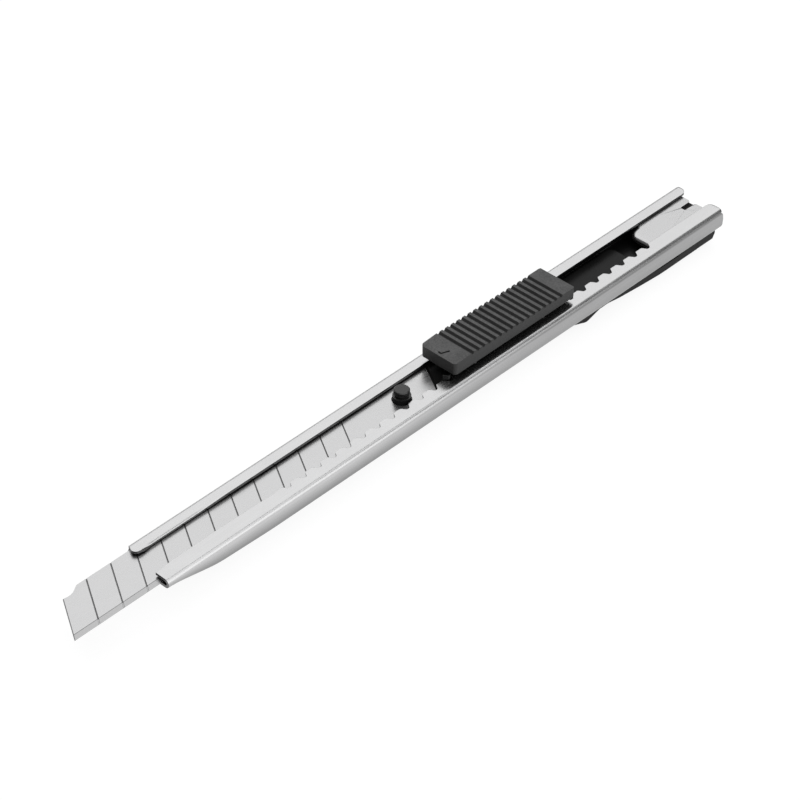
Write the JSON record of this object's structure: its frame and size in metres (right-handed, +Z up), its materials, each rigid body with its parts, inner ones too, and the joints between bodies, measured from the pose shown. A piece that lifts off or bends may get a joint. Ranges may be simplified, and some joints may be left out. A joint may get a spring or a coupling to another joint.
{
  "type": "snap off knife",
  "caption": "Slim snap-off knife: folded steel channel with a toothed lip, a sliding segmented blade, a ribbed thumb button with a spring lock, and a pull-off end cap with a pocket clip.",
  "frame": {"origin": "midway along the knife at rest and midway across the channel, at the level of the pocket clip's lowest point", "axes": "+X runs from the blade's tip towards the rear end, +Y from the cutting edge towards the blade's spine, +Z up through the thumb button"},
  "size_m": [0.1528, 0.011, 0.0102],
  "materials": {
    "channel_steel": "satin",
    "blade_steel": "ground, lightly polished",
    "carrier_plastic": "glossy black moulding",
    "button_plastic": "matte dark grey moulding",
    "spring_steel": "rolled spring steel",
    "plate_steel": "satin",
    "cap_plastic": "matte black moulding"
  },
  "bodies": {
    "handle": {"handle_channel": "channel_steel"},
    "carriage": {"blade": "blade_steel", "blade_carrier": "carrier_plastic", "slider_button": "button_plastic"},
    "lock": {"lock_spring": "spring_steel"},
    "end_cap": {"snapper_plate": "plate_steel", "end_plug": "cap_plastic"},
    "clip": {"pocket_clip": "cap_plastic"}
  },
  "joints": [
    {"name": "slider_slide", "type": "slide", "parent": "handle", "child": "carriage", "axis": [1, 0, 0], "range_m": [-0.0374, 0.0204], "deforming": ["lock_spring"]},
    {"name": "lock_flex", "type": "hinge", "parent": "carriage", "child": "lock", "pos_m": [0.02405, -0.0012, 0.0067], "axis": [0, 0, -1], "range_deg": [0, 3.3], "stiffness_Nm_per_rad": 0.13},
    {"name": "end_cap_slide", "type": "slide", "parent": "handle", "child": "end_cap", "axis": [1, 0, 0], "range_m": [0, 0.02]},
    {"name": "clip_flex", "type": "hinge", "parent": "end_cap", "child": "clip", "pos_m": [0.07, 0, 0.00095], "axis": [0, -1, 0], "range_deg": [0, 4], "stiffness_Nm_per_rad": 0.24}
  ]
}
